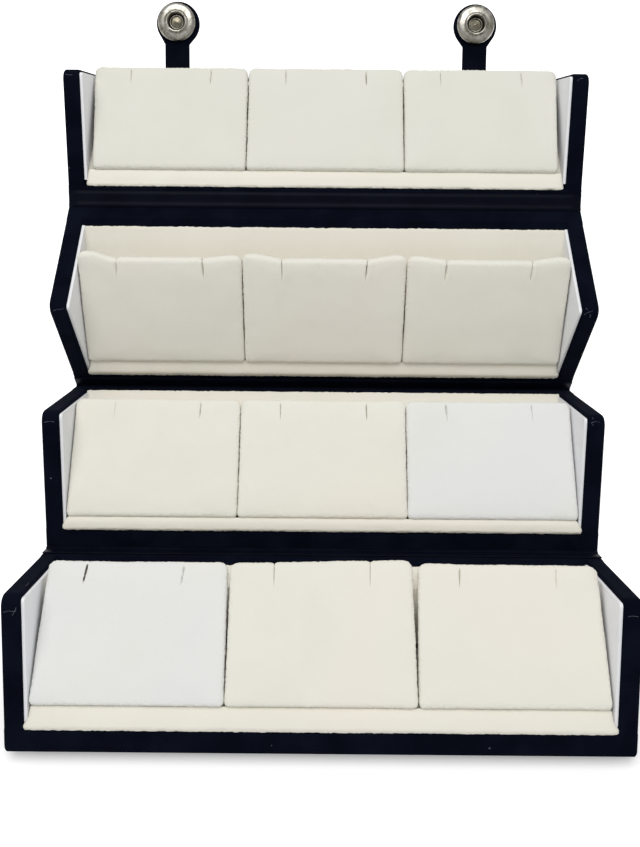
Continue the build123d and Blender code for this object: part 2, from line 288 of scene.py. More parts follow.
def place_group(material, group, x, y, **values):
    """A node that uses the group in this material, with its own values."""
    return add_node(material.node_tree, "ShaderNodeGroup", x, y, values, node_tree=group)


def mix_colours(material, factor, first, second, x, y):
    """A colour mix from this factor socket; a colour is a socket or three numbers."""
    node = add_node(material.node_tree, "ShaderNodeMix", x, y, data_type="RGBA")
    material.node_tree.links.new(factor, node.inputs["Factor"])
    for label, colour in (("A", first), ("B", second)):
        slot = [s for s in node.inputs if s.name == label and s.type == "RGBA"][0]
        if isinstance(colour, tuple):
            slot.default_value = (*colour, 1.0)
        else:
            material.node_tree.links.new(colour, slot)
    return [s for s in node.outputs if s.type == "RGBA"][0]


def scaled(material, value, factor, x, y, offset=0.0):
    """A value times a factor, plus an offset."""
    node = add_node(
        material.node_tree, "ShaderNodeMath", x, y, {1: factor, 2: offset}, operation="MULTIPLY_ADD"
    )
    material.node_tree.links.new(value, node.inputs[0])
    return node.outputs["Value"]


def put_on(material, shader, colour, nap, mask, swing, base):
    """Links a finish's colour, the pile's bump and a roughness that follows a mask of the pile."""
    rough = scaled(material, nap.outputs[mask], swing, -300, -400, base)
    links = material.node_tree.links
    links.new(colour, shader.inputs["Base Color"])
    links.new(rough, shader.inputs["Roughness"])
    links.new(nap.outputs["Normal"], shader.inputs["Normal"])

# %% [markdown]
# The boards are wrapped in a navy velvet so dark that only its sheen and its lint show a shape. The
# base colour moves between two near-blacks with the patches of the pile, a little grey lint lies on
# it, and the sheen lightens it where it turns away.

# %% Navy velvet
navy_velvet, shader = new_finish(
    "navy velvet",
    Sheen_Weight=0.022,
    Sheen_Roughness=0.4,
    Sheen_Tint=(0.3, 0.38, 0.7, 1.0),
    Specular_IOR_Level=0.03,
)
nap = place_group(navy_velvet, pile, -900, 0, Grain=3000.0, Patch=70.0, Depth=0.0001)
specks = place_group(navy_velvet, lint, -900, -300, Cells=170.0, Size=0.05, Share=0.25)
dark_blue, deep_blue = (0.0018, 0.0028, 0.0072), (0.0036, 0.0052, 0.012)
cloth = mix_colours(navy_velvet, nap.outputs["Patches"], dark_blue, deep_blue, -600, 100)
faded = scaled(navy_velvet, specks.outputs["Specks"], 0.35, -600, -300)
cloth = mix_colours(navy_velvet, faded, cloth, (0.25, 0.27, 0.3), -300, 100)
put_on(navy_velvet, shader, cloth, nap, "Fibres", 0.1, 0.88)
print("finish:", navy_velvet.name)

# %% [markdown]
# The pads and their trim are a cream velvet. Not all came from one roll: two of the pads are a
# cooler white. Those of the back tray take a greyer copy of the cream, as painted shade. The finish
# is therefore a function of its colours, and each roll is a material. A light sheen stands for the
# fuzz, which brightens every edge that turns away.

# %% Cream velvets
def cream_velvet(name, light, deep, cast):
    """A pale velvet between a light and a deeper colour, with a faint cast of a third."""
    material, shader = new_finish(
        name,
        Sheen_Weight=0.22,
        Sheen_Roughness=0.45,
        Sheen_Tint=(1.0, 0.99, 0.96, 1.0),
        Specular_IOR_Level=0.1,
    )
    nap = place_group(material, pile, -900, 0, Grain=2400.0, Patch=45.0, Depth=0.00012)
    shaded = scaled(material, nap.outputs["Fibres"], 0.5, -600, -150, -0.1)
    grain = mix_colours(material, shaded, light, deep, -450, 100)
    blotched = scaled(material, nap.outputs["Patches"], 0.5, -450, -250)
    cloth = mix_colours(material, blotched, grain, deep, -250, 100)
    tinged = scaled(material, nap.outputs["Casts"], 0.7, -250, -250)
    cloth = mix_colours(material, tinged, cloth, cast, -80, 100)
    put_on(material, shader, cloth, nap, "Fibres", 0.1, 0.88)
    return material


ROLLS = {
    "cream velvet": ((0.815, 0.802, 0.72), (0.765, 0.752, 0.665), (0.825, 0.785, 0.705)),
    # The greyer cream is painted shade for the back tray's pads.
    "cream velvet with painted shade": ((0.75, 0.742, 0.665), (0.70, 0.695, 0.615), (0.745, 0.735, 0.67)),
    "pale velvet": ((0.80, 0.80, 0.755), (0.76, 0.76, 0.72), (0.785, 0.79, 0.785)),
    "cool white velvet": ((0.80, 0.80, 0.775), (0.76, 0.765, 0.745), (0.80, 0.79, 0.74)),
    "warm trim velvet": ((0.83, 0.805, 0.715), (0.78, 0.75, 0.655), (0.83, 0.79, 0.70)),
}
cream_pad, shaded_cream_pad, pale_pad, cool_pad, warm_trim = (
    cream_velvet(name, *colours) for name, colours in ROLLS.items()
)
print("rolls of cream velvet:", len(ROLLS))

# %% [markdown]
# The cheeks are lined with a smooth pale card that has a cold lilac cast. It is not quite flat and
# not quite clean, so the pile group's broad patches vary its gloss and grey it a little.

# %% Lining card
lining_card, shader = new_finish("lining card", Specular_IOR_Level=0.35)
nap = place_group(lining_card, pile, -900, 0, Grain=900.0, Patch=60.0, Depth=0.00002)
clean, greyed = (0.885, 0.89, 0.92), (0.84, 0.85, 0.875)
card = mix_colours(lining_card, nap.outputs["Patches"], clean, greyed, -500, 100)
put_on(lining_card, shader, card, nap, "Patches", 0.15, 0.42)
print("finish:", lining_card.name)

# %% [markdown]
# The straps are a flat navy cloth with a fine even grain. The hinges are the same cloth, but it is
# drawn tight over the fold, so that it shines a little. The foam strips behind the pads are brown,
# darkened further as painted shade for the gaps between the pads, and foam is a crowd of tiny
# holes, which a Voronoi pattern draws. Along its upper edge it is painted paler, as painted light
# where the
# gap opens: the strips carry a value for that at each point, and the finish reads it.

# %% Navy cloth and foam
def navy_weave(name, shine, roughness):
    """A flat navy cloth with this much shine."""
    material, shader = new_finish(
        name,
        Sheen_Weight=0.015,
        Sheen_Roughness=0.4,
        Sheen_Tint=(0.35, 0.42, 0.7, 1.0),
        Specular_IOR_Level=shine,
    )
    nap = place_group(material, pile, -900, 0, Grain=1900.0, Patch=90.0, Depth=0.00005)
    dark, deep = (0.0016, 0.0024, 0.0068), (0.0028, 0.0038, 0.0098)
    cloth = mix_colours(material, nap.outputs["Patches"], dark, deep, -500, 100)
    put_on(material, shader, cloth, nap, "Fibres", 0.15, roughness)
    return material


navy_cloth = navy_weave("navy cloth", 0.04, 0.8)
tight_cloth = navy_weave("navy cloth drawn tight", 0.045, 0.35)

foam, shader = new_finish("foam", Roughness=0.95)
tree = foam.node_tree
place = add_node(tree, "ShaderNodeTexCoord", -1100, 0)
holes = add_node(tree, "ShaderNodeTexVoronoi", -900, 0, {"Scale": 1800.0})
pits = add_node(tree, "ShaderNodeBump", -300, -200, {"Distance": 0.0002})
painted_light_mask = add_node(tree, "ShaderNodeAttribute", -700, 250, attribute_name="painted_light_mask")
# The third colour is painted light for the strip's upper part; the brown is darkened as painted
# shade.
dark, light, painted_lit = (0.15, 0.138, 0.112), (0.27, 0.25, 0.205), (0.62, 0.59, 0.51)
brown = mix_colours(foam, holes.outputs["Distance"], dark, light, -500, 0)
brown = mix_colours(foam, painted_light_mask.outputs["Fac"], brown, painted_lit, -300, 100)
tree.links.new(brown, shader.inputs["Base Color"])
join(
    tree,
    (place, "Object", holes, "Vector"),
    (holes, "Distance", pits, "Height"),
    (pits, "Normal", shader, "Normal"),
)
print("finishes:", navy_cloth.name, tight_cloth.name, foam.name)

# %% [markdown]
# The snaps are pressed from nickel-plated steel. Plating is a mirror that use has dulled: patches
# of dirt yellow and roughen it, and a fine grain bends what it mirrors. The inside of the hole gets
# a darker, duller version, as painted shade for its depth.

# %% Nickel
def plating(name, bright, stained, gloss):
    """Worn nickel between a bright and a stained colour."""
    material, shader = new_finish(name, Metallic=1.0)
    nap = place_group(material, pile, -900, 0, Grain=1500.0, Patch=330.0, Depth=0.00002)
    plated = mix_colours(material, nap.outputs["Patches"], bright, stained, -500, 100)
    put_on(material, shader, plated, nap, "Patches", 0.12, gloss)
    return material


nickel = plating("nickel", (0.52, 0.50, 0.455), (0.2, 0.19, 0.15), 0.24)
# The second plating is darker as painted shade for the inside of the hole.
shaded_nickel = plating("shaded nickel", (0.22, 0.20, 0.15), (0.07, 0.065, 0.045), 0.26)
print("finishes:", nickel.name, shaded_nickel.name)

# %% [markdown]
# The hard pieces already have the right shape, so they keep their CAD meshes. Only their material
# slot changes hands.

# %% Dress the hard pieces
FINISHES = {
    "outer_wall": navy_velvet,
    "_cheek": navy_velvet,
    "left_lining": lining_card,
    "right_lining": lining_card,
    "snap_cap": nickel,
    "snap_studs": nickel,
}
dressed = 0
for name, node in frame["nodes"].items():
    for ending, finish in FINISHES.items():
        if name.endswith(ending) and not name.endswith("wall_lining"):
            node.data.materials.clear()
            node.data.materials.append(finish)
            dressed += 1
print("dressed:", dressed)

# %% [markdown]
# New pieces are drawn flat in millimetres and then carried to their place by one matrix that also
# turns them into metres. The object itself stays at the origin, as the CAD objects do. The helper
# finishes a piece: smooth shading, its material, the body that it moves with and the nodes that it
# stands for. The others round edges off and give soft changes.

# %% Helpers for pieces
def finish_piece(name, bm, place, finish, body, stands_for):
    """Turns a drawing in millimetres into a finished piece at its place."""
    bmesh.ops.transform(bm, matrix=place @ Matrix.Scale(MM, 4), verts=bm.verts)
    mesh = mesh_of(name, bm)
    mesh.shade_smooth()
    mesh.materials.append(finish)
    piece = new_object(name, mesh)
    if body:
        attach(piece, body)
    if stands_for:
        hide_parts(*stands_for)
    return piece


def finish_strip(kind, tray, bm, finish):
    """Finishes a strip that runs all along a tray."""
    body = f"tray_{tray}"
    return finish_piece(f"{kind}_{tray}", bm, PLACES[tray], finish, body, [f"{body}_{kind}"])


def points_of(geometry):
    """The points among what an extrusion or a spin gives back."""
    return [part for part in geometry if isinstance(part, bmesh.types.BMVert)]


def round_off(bm, edges, radius, segments):
    """Bevels these edges round."""
    bmesh.ops.bevel(
        bm, geom=edges, offset=radius, segments=segments, profile=0.5, affect="EDGES", material=-1
    )


def smooth_step(low, high, value):
    """0 below low, 1 above high, and a soft rise between them."""
    share = min(1.0, max(0.0, (value - low) / (high - low)))
    return share * share * (3 - 2 * share)


def soft_noise(point, size, seed):
    """Smooth noise from -1 to 1 with lumps of about this size."""
    return noise.noise(Vector(point) / size + Vector((seed * 7.3, seed * 3.1, seed * 5.7)))

# %% [markdown]
# A pad is a foam board wrapped in velvet, so it is a flat block with puffed faces, round edges and
# sides that pull in between the corners. It starts from a block a little smaller than the pad: a
# cube that is scaled, with its four upright edges rounded first and then the rims of both faces.

# %% Measures of a pad
PAD_WIDTH = 61.4
PAD_HEIGHT = 45.5
PAD_THICK = 4.4
TOP_CORNER = 3.4
FOOT_CORNER = 2.0
RIM_RADIUS = 0.9
PAD_FOOT = -0.2
PAD_INSET = 0.5


def pad_block(inset):
    """The block that is blown up, in millimetres, lying on its back with its foot at y = 0."""
    bm = bmesh.new()
    bmesh.ops.create_cube(bm, size=1.0)
    size = (PAD_WIDTH - 2 * inset, PAD_HEIGHT - 2 * inset, PAD_THICK - 1.2 * inset)
    bmesh.ops.scale(bm, vec=size, verts=bm.verts)
    bmesh.ops.translate(bm, vec=(0, PAD_HEIGHT / 2, PAD_THICK / 2), verts=bm.verts)
    for radius, top in ((TOP_CORNER, True), (FOOT_CORNER, False)):
        corners = [
            e for e in bm.edges
            if abs(e.verts[0].co.z - e.verts[1].co.z) > 1
            and (e.verts[0].co.y > PAD_HEIGHT / 2) == top
            and abs(e.link_faces[0].normal.dot(e.link_faces[1].normal)) < 0.1
        ]
        round_off(bm, corners, radius - inset, 6)
    rims = [
        e for e in bm.edges
        if abs(e.verts[0].co.z - e.verts[1].co.z) < 0.01
        and abs(e.link_faces[0].normal.z - e.link_faces[1].normal.z) > 0.5
    ]
    round_off(bm, rims, RIM_RADIUS, 3)
    return bm


print("pad", PAD_WIDTH, "x", PAD_HEIGHT, "x", PAD_THICK, "mm")

# %% [markdown]
# Cloth simulation gives the fullness: the block is remeshed into even squares and blown up from
# inside. Cloth settings suit things about as large as a cushion, so the block is simulated ten
# times larger than life, and how far each point may move is capped so that the face stays flat. A
# last stretch brings it to the pad's size. All twelve pads are copies of this one.

# %% Blow up the pad
SIM_SCALE = 0.01
VOXEL = 0.85
SWELL = 0.45
PRESSURE = 4.0
LAST_MOMENT = 20


def evaluated_mesh(thing):
    """A copy of the mesh with its modifiers applied."""
    graph = bpy.context.evaluated_depsgraph_get()
    return bpy.data.meshes.new_from_object(thing.evaluated_get(graph))


def swollen(bm):
    """Remeshes a drawing in millimetres, blows it up as cloth and gives it back."""
    bmesh.ops.scale(bm, vec=(SIM_SCALE,) * 3, verts=bm.verts)
    block = new_object("block", mesh_of("block", bm))
    remesh = block.modifiers.new("even squares", "REMESH")
    remesh.mode = "VOXEL"
    remesh.voxel_size = VOXEL * SIM_SCALE
    even = evaluated_mesh(block)
    block.modifiers.clear()
    block.data = even
    start = [v.co.copy() for v in even.vertices]
    cloth = block.modifiers.new("blow up", "CLOTH")
    cloth.settings.use_pressure = True
    cloth.settings.uniform_pressure_force = PRESSURE
    cloth.settings.effector_weights.gravity = 0.0
    cloth.settings.quality = 5
    cloth.point_cache.frame_start = 1
    cloth.point_cache.frame_end = LAST_MOMENT
    for moment in range(1, LAST_MOMENT + 1):
        bpy.context.scene.frame_set(moment)
    blown = evaluated_mesh(block)
    block.modifiers.clear()
    block.data = blown
    for vertex, was in zip(block.data.vertices, start):
        step = vertex.co - was
        if step.length > SWELL * SIM_SCALE:
            vertex.co = was + step.normalized() * SWELL * SIM_SCALE
    finer = block.modifiers.new("finer", "SUBSURF")
    finer.levels = finer.render_levels = 1
    result = bmesh.new()
    result.from_mesh(evaluated_mesh(block))
    bmesh.ops.scale(result, vec=(1 / SIM_SCALE,) * 3, verts=result.verts)
    bpy.data.objects.remove(block)
    return result


def stretched(bm, width, low, high):
    """Stretches a drawing evenly to this width, and from this low to this high end along y."""
    half = max(abs(v.co.x) for v in bm.verts)
    first = min(v.co.y for v in bm.verts)
    last = max(v.co.y for v in bm.verts)
    bmesh.ops.translate(bm, vec=(0, -first, 0), verts=bm.verts)
    bmesh.ops.scale(bm, vec=(width / 2 / half, (high - low) / (last - first), 1), verts=bm.verts)
    bmesh.ops.translate(bm, vec=(0, low, 0), verts=bm.verts)


blown_pad = swollen(pad_block(PAD_INSET))
stretched(blown_pad, PAD_WIDTH, PAD_FOOT, PAD_HEIGHT)
pad_mesh = mesh_of("blown pad", blown_pad)
print("blown pad:", len(pad_mesh.vertices), "points")

# %% [markdown]
# No two pads in the box are quite alike. Each gets its own slow lumps, a top edge that rises at its
# ends, sides that come in, fuzz along its rim and its own pair of slits. The table holds, for each
# tray from left to right: how far the top comes in at the left and at the right, the same for the
# foot, the lift of the top edge at the left and at the right and how far out that starts, the two
# slits' leans in degrees, how wide each gapes, and the roll of velvet that the pad was cut from;
# the back tray's greyer cream is painted shade. A slit stays shut at the very edge, unless the
# corners beside it stand up. One that gapes widely shows the foam core, so its walls take the
# second finish of the pad.

# %% What makes each pad its own
PAD_HABITS = {
    1: [
        # The back tray's pads take the greyer cream, as painted shade.
        (0.1, 0.0, 1.9, -0.1, 0.0, 0.0, 0.5, -2, 2, 0.6, 0.9, shaded_cream_pad),
        (-0.1, -0.1, -0.1, -0.1, 0.0, 0.0, 0.5, -1, -1, 0.8, 1.0, shaded_cream_pad),
        (0.0, 0.2, -0.1, 1.9, 0.1, -0.1, 0.5, 0, -2, 0.6, 0.9, shaded_cream_pad),
    ],
    2: [
        (0.0, -0.1, -0.15, -0.1, 1.8, 0.8, 0.55, 2, -3, 0.7, 1.2, cream_pad),
        (-0.1, -0.1, -0.1, -0.1, 1.4, 1.2, 0.5, -1, 4, 0.8, 1.0, cream_pad),
        (-0.1, 0.1, -0.1, -0.15, 0.9, 1.0, 0.5, 4, 4, 1.1, 0.8, cream_pad),
    ],
    3: [
        (0.0, -0.1, -0.15, -0.15, 0.0, 0.1, 0.5, 0, 2, 0.5, 1.0, cream_pad),
        (-0.1, -0.1, -0.15, -0.15, 0.2, 0.2, 0.5, -1, -2, 0.9, 0.9, cream_pad),
        (-0.1, 0.1, -0.15, -0.15, 0.1, 0.0, 0.5, -4, -2, 1.0, 0.8, pale_pad),
    ],
    4: [
        (1.5, 0.3, -0.1, -0.05, 0.1, 0.0, 0.5, 8, 6, 1.3, 1.0, cool_pad),
        (0.1, 0.7, -0.05, -0.05, 0.0, 1.3, -1.0, -1, 1, 0.7, 0.5, cream_pad),
        (0.8, 1.0, -0.05, 0.1, 0.2, -0.3, 0.5, 2, 4, 1.0, 0.7, cream_pad),
    ],
}
Habit = namedtuple(
    "Habit",
    "in_left in_right foot_left foot_right lift_left lift_right ear "
    "lean_left lean_right gape_left gape_right velvet",
)
SLIT_SPACING = 32.0
SLIT_LENGTH = 7.5
SLIT_DEPTH = 3.4
SLIT_REACH = 4.5
SLIT_HALF_WIDTH = 0.23
EAR_BEND = 0.5
EAR_END = 0.85
FOAM_SHOWS = 1.25


def shape_pad(bm, seed, habit, trim):
    """Gives a blown pad this pad's own shape, and takes this much off its height."""
    half = PAD_WIDTH / 2
    bm.normal_update()
    fuzzed = [(v, v.normal.copy()) for v in bm.verts]
    for v, outward in fuzzed:
        x, y, z = v.co
        side = x / half
        leftward, rightward = (1 - side) / 2, (1 + side) / 2
        high = y / PAD_HEIGHT
        rim = max(
            smooth_step(half - 2.2, half - 0.8, abs(x)),
            1 - smooth_step(0.6, 2.0, y),
            smooth_step(PAD_HEIGHT - 2.2, PAD_HEIGHT - 0.8, y),
        )
        v.co += outward * rim * (0.22 * soft_noise((x, y, z), 0.7, seed + 160))
        lump = 0.2 * soft_noise((x, y, 0), 16, seed) + 0.07 * soft_noise((x, y, 0), 6, seed + 40)
        v.co.z += lump * smooth_step(0.4, 3.0, z)
        up = smooth_step(0.5, 1.0, high)
        lift = habit.lift_left * smooth_step(habit.ear, EAR_END, -side)
        lift += habit.lift_right * smooth_step(habit.ear, EAR_END, side)
        v.co.y += up * (lift + 0.22 * soft_noise((x, 0, 0), 9, seed + 80)) - trim * high
        v.co.z -= EAR_BEND * up * lift
        pulled = habit.in_left * leftward - habit.in_right * rightward
        v.co.x += max(0.0, high) ** 1.6 * pulled
        v.co.x += (1 - high) * (habit.foot_left * leftward - habit.foot_right * rightward)
        v.co.x += 0.12 * soft_noise((0, y, 0), 8, seed + 120) * side


def cut_slit(bm, at, lean, gape, top, shut):
    """Sinks a narrow trench down the face from the top edge, leaning by this many degrees."""
    foot = top - SLIT_LENGTH
    tilt = math.tan(math.radians(lean))
    width = SLIT_HALF_WIDTH * gape
    for offset in (-1.8, -0.9, -width, 0.0, width, 0.9, 1.8):
        near = [v for v in bm.verts if abs(v.co.x - at) < SLIT_REACH and v.co.y > foot - 3]
        faces = {f for v in near for f in v.link_faces}
        edges = {e for f in faces for e in f.edges}
        bmesh.ops.bisect_plane(
            bm,
            geom=list(near) + list(edges) + list(faces),
            plane_co=(at + offset, top, 0),
            plane_no=(1, -tilt, 0),
            dist=1e-5,
        )
    for v in bm.verts:
        x, y, z = v.co
        across = x - at - (y - top) * tilt
        if abs(across) > SLIT_REACH or y < foot - 1.2:
            continue
        down = smooth_step(foot - 1.2, foot + 2.5, y)
        down *= 1 - shut * smooth_step(top - 3.0, top - 1.4, y)
        front = smooth_step(1.5, 3.5, z)
        hollow = math.exp(-((across / 0.8) ** 2))
        dip = 0.3 * hollow - 0.16 * math.exp(-(((across - 1.5) / 0.8) ** 2))
        v.co.z -= dip * down * front * min(1.0, gape)
        v.co.y -= 0.4 * hollow * (1 - shut) * smooth_step(top - 2, top - 0.3, y)
        if abs(across) < width / 2:
            v.co.z -= SLIT_DEPTH * down * front * min(1.0, gape)
            v.co.y -= 2.0 * smooth_step(top - 2, top - 0.5, y) * min(1.0, gape) * (1 - shut)
        elif abs(across) < 1.5 * width:
            lens = smooth_step(foot, foot + 3, y) * (1 - smooth_step(top - 3.5, top - 1, y))
            v.co.x += math.copysign(0.06 * gape * lens, across)
    if gape > FOAM_SHOWS:
        for f in bm.faces:
            x, y, z = f.calc_center_median()
            within = abs(x - at - (y - top) * tilt) < width
            if within and foot + 0.8 < y < top - 1.2 and z > 0.5:
                f.material_index = 1


print("pads with habits:", sum(len(row) for row in PAD_HABITS.values()))

# %% [markdown]
# The pads stand behind the ledge and lean back by 17 degrees on a foam strip. Their seat follows
# from the ledge's section, so the same few measures place pads, ledge and foam. The trays were
# filled by hand: in some the pads sit lower over a narrower ledge, some rows are a little shorter,
# and the lining of the wall stops a little earlier or later. One table holds these for each tray.

# %% Place the pads
WALL_THICK = 5.6
ON_WALL = WALL_THICK + 0.02
CHEEK_INNER = 93.7
MITRE_RUN = 4.9
LINING_TOP = 6.8
LEDGE_LIP = {1: (5.2, 7.0), 2: (6.7, 8.3), 3: (5.2, 7.3), 4: (5.8, 7.4)}
LEDGE_BACK = (12.09, 8.73)
PAD_SEAT = (12.887, 7.1)
PAD_SLANT = 17.0
PAD_STEP = 61.7
PAD_SLIDE = {1: 0.9, 2: 0.0, 3: 2.9, 4: 0.0}
PAD_TRIM = {1: 1.3, 2: 2.5, 3: 1.2, 4: 0.0}
LIP_HALF = {1: 92.9, 2: 94.0, 3: 94.0, 4: 94.15}
LINING_HIGH = {1: 63.9, 2: 64.0, 3: 65.8, 4: 63.2}
STANDING = 0.6

for tray, rows in PAD_HABITS.items():
    for index, (side, row) in enumerate(zip(("left", "middle", "right"), rows)):
        habit = Habit(*row)
        bm = bmesh.new()
        bm.from_mesh(pad_mesh)
        trim = PAD_TRIM[tray]
        top = PAD_HEIGHT - trim
        shut = 0.0 if max(habit.lift_left, habit.lift_right) > STANDING else 1.0
        shape_pad(bm, tray * 3 + index, habit, trim)
        cut_slit(bm, -SLIT_SPACING / 2, habit.lean_left, habit.gape_left, top, shut)
        cut_slit(bm, SLIT_SPACING / 2, habit.lean_right, habit.gape_right, top, shut)
        bmesh.ops.translate(bm, vec=(0, -PAD_SLIDE[tray], 0), verts=bm.verts)
        seat = Matrix.Translation(Vector(((index - 1) * PAD_STEP, *PAD_SEAT)) * MM)
        slant = Matrix.Rotation(math.radians(PAD_SLANT), 4, "X")
        pad = finish_piece(
            f"pad_{tray}_{side}", bm, PLACES[tray] @ seat @ slant, habit.velvet,
            f"tray_{tray}", [f"tray_{tray}_{side}_pad"],
        )
        pad.data.materials.append(foam)
print("points in one pad:", len(pad.data.vertices))

# %% [markdown]
# The ledge is a stuffed strip with a sloping face, soft along all its edges. Its front lip is a
# little longer than its back and fills the corner beside the lining card. It starts as a section
# with four corners that is pulled along X. Then it is bevelled round, cut into short lengths and
# made slightly uneven, as a strip that is glued down by hand is. The linings and the foam strips
# start in the same way.

# %% Ledges
def slice_along(bm, step):
    """Divides the long edges along X evenly, so that the piece can take lumps and bends."""
    lengthwise = [e for e in bm.edges if abs(e.verts[0].co.x - e.verts[1].co.x) > 10]
    count = round(max(e.calc_length() for e in lengthwise) / step)
    bmesh.ops.subdivide_edges(bm, edges=lengthwise, cuts=count - 1, use_grid_fill=True)


def cut_across(bm, runs):
    """Cuts a drawing across at these distances along Y."""
    for run in runs:
        parts = list(bm.verts) + list(bm.edges) + list(bm.faces)
        bmesh.ops.bisect_plane(
            bm, geom=parts, plane_co=(0, run, 0), plane_no=(0, 1, 0), dist=1e-5
        )


def soft_bar(section, half, radius, segments):
    """A bar along X with this four-cornered section and soft edges."""
    bm = bmesh.new()
    corners = [bm.verts.new((-half, y, z)) for y, z in section]
    end = bm.faces.new(corners)
    pulled = bmesh.ops.extrude_face_region(bm, geom=[end])["geom"]
    bmesh.ops.translate(bm, vec=(2 * half, 0, 0), verts=points_of(pulled))
    bmesh.ops.recalc_face_normals(bm, faces=bm.faces)
    round_off(bm, list(bm.edges), radius, segments)
    return bm


LEDGE_HALF = 92.6
LEDGE_PRESSED = 0.4
LEDGE_FOLLOWS = 1.05
for tray in PLACES:
    foot = (MITRE_RUN + 0.25, ON_WALL)
    back = LEDGE_BACK[0] + LEDGE_PRESSED - LEDGE_FOLLOWS * PAD_SLIDE[tray]
    section = [foot, LEDGE_LIP[tray], (back, LEDGE_BACK[1] + 0.25), (back, ON_WALL)]
    bm = soft_bar(section, LEDGE_HALF, 0.7, 4)
    slice_along(bm, 0.8)
    cut_across(bm, (6.4, 7.2, 8.0, 8.8) if PAD_SLIDE[tray] > 2 else (6.6, 7.8, 9.0, 10.2))
    for v in bm.verts:
        x, y, z = v.co
        front = 1 - smooth_step(5.6, 9.5, y)
        flare = smooth_step(LEDGE_HALF - 3, LEDGE_HALF, abs(x))
        tip = smooth_step(LEDGE_HALF - 1.6, LEDGE_HALF, abs(x)) ** 2
        v.co.x += math.copysign(front * flare * (LIP_HALF[tray] - LEDGE_HALF), x)
        above = smooth_step(WALL_THICK + 0.2, WALL_THICK + 1.4, z)
        belly = 0.5 * math.sin(math.pi * smooth_step(5.3, back, y))
        lump = 0.14 * soft_noise((x, 0, y), 11, tray + 200)
        lump += 0.08 * soft_noise((x, y, 0), 3.5, tray + 240)
        v.co.z += above * (belly + lump - 0.7 * tip)
        lip = 1 - smooth_step(5.6, 6.6, y)
        wave = 0.1 * front * soft_noise((x, 0, 0), 6, tray + 280)
        fuzz = 0.26 * lip * soft_noise((x, y, z), 0.8, tray + 300)
        v.co.y += wave + 0.5 * tip * front + fuzz
    ledge = finish_strip("ledge", tray, bm, warm_trim)
print("points in a ledge:", len(ledge.data.vertices))

# %% [markdown]
# The same cream velvet covers the inner face of each long wall, over a thin wadding. It shows above
# the pads as a soft panel with a light, slightly ragged upper rim. In the front tray it was trimmed
# shortest, and the pads there hide it almost wholly.

# %% Wall linings
LINING_LOW = 12.15
for tray, top in LINING_HIGH.items():
    section = [
        (LINING_LOW, ON_WALL),
        (LINING_LOW, LINING_TOP - 0.05),
        (top, LINING_TOP + 0.1),
        (top, ON_WALL),
    ]
    bm = soft_bar(section, CHEEK_INNER - 0.05, 0.45, 3)
    slice_along(bm, 0.8)
    cut_across(bm, (50.0, 54.0, 57.0, 60.0, top - 3.0, top - 1.6))
    for v in bm.verts:
        x, y, z = v.co
        above = smooth_step(WALL_THICK + 0.3, LINING_TOP, z) * smooth_step(46, 52, y)
        inside = 1 - smooth_step(CHEEK_INNER - 3.0, CHEEK_INNER - 1.2, abs(x))
        bulge = 0.3 * math.sin(math.pi * smooth_step(50, top, y))
        v.co.z += above * inside * (bulge + 0.12 * soft_noise((x, y, 0), 9, tray + 320))
        rim = smooth_step(top - 1.5, top - 0.1, y)
        wave = 0.12 * soft_noise((x, 0, 0), 5, tray + 360)
        v.co.y += rim * (wave + 0.34 * soft_noise((x, y, z), 0.75, tray + 380))
    lining = finish_strip("wall_lining", tray, bm, warm_trim)
print("points in a wall lining:", len(lining.data.vertices))

# %% [markdown]
# A strip of foam on the wall holds the pads at their slant. It shows only in the gaps between the
# pads and past their ends, mostly as shade, so a bar with softly crushed edges is enough.

# %% Foam strips behind the pads
REST_START = 21.0
REST_LENGTH = 17.0
REST_HALF = 90.7
REST_GAP = 0.3


def rest_top(along):
    """The run and height of a foam strip's top, this far up the back of a pad."""
    slant = math.radians(PAD_SLANT)
    run = PAD_SEAT[0] + along * math.cos(slant)
    return run, PAD_SEAT[1] + (run - PAD_SEAT[0]) * math.tan(slant) - REST_GAP / math.cos(slant)


for tray in PLACES:
    (low, low_top), (high, high_top) = rest_top(REST_START), rest_top(REST_START + REST_LENGTH)
    under = LINING_TOP + 0.1
    corners = [(low, under), (low, low_top), (high, high_top), (high, under)]
    bm = soft_bar(corners, REST_HALF, 0.4, 3)
    slice_along(bm, 5.0)
    cut_across(bm, (low + 4, low + 8, low + 12))
    # Each point's value makes the strip paler towards its upper edge, as painted light.
    painted_lit = bm.verts.layers.float.new("painted_light_mask")
    for v in bm.verts:
        v[painted_lit] = smooth_step(low + 4, high, v.co.y)
        v.co.y += 0.12 * soft_noise(v.co, 7, tray + 400)
    rest = finish_strip("pad_rest", tray, bm, foam)
print("points in a foam strip:", len(rest.data.vertices))

# %% [markdown]
# Each hinge is a strip of navy cloth along the line where two trays meet. One edge lies in a
# shallow step of one wall, the strip rolls over the hinge line, and the other edge is glued up the
# sloping edge of the next wall. Its path is given in two halves, each in the frame of its own tray,
# so that it follows both walls. It is one sheet, drawn where the hinge stands now.

# %% Hinge cloths
CLOTH_HALF = 99.8
CLOTH_THICK = 0.3
LEAF_PATH = [(5.0, 0.5), (3.4, 0.5), (1.9, 0.52), (1.15, 0.8), (0.7, 1.4), (0.25, 1.65)]
MITRE_PATH = [(0.3, 1.62), (0.81, 1.79), (1.6, 2.58), (2.7, 3.68), (4.0, 4.98)]


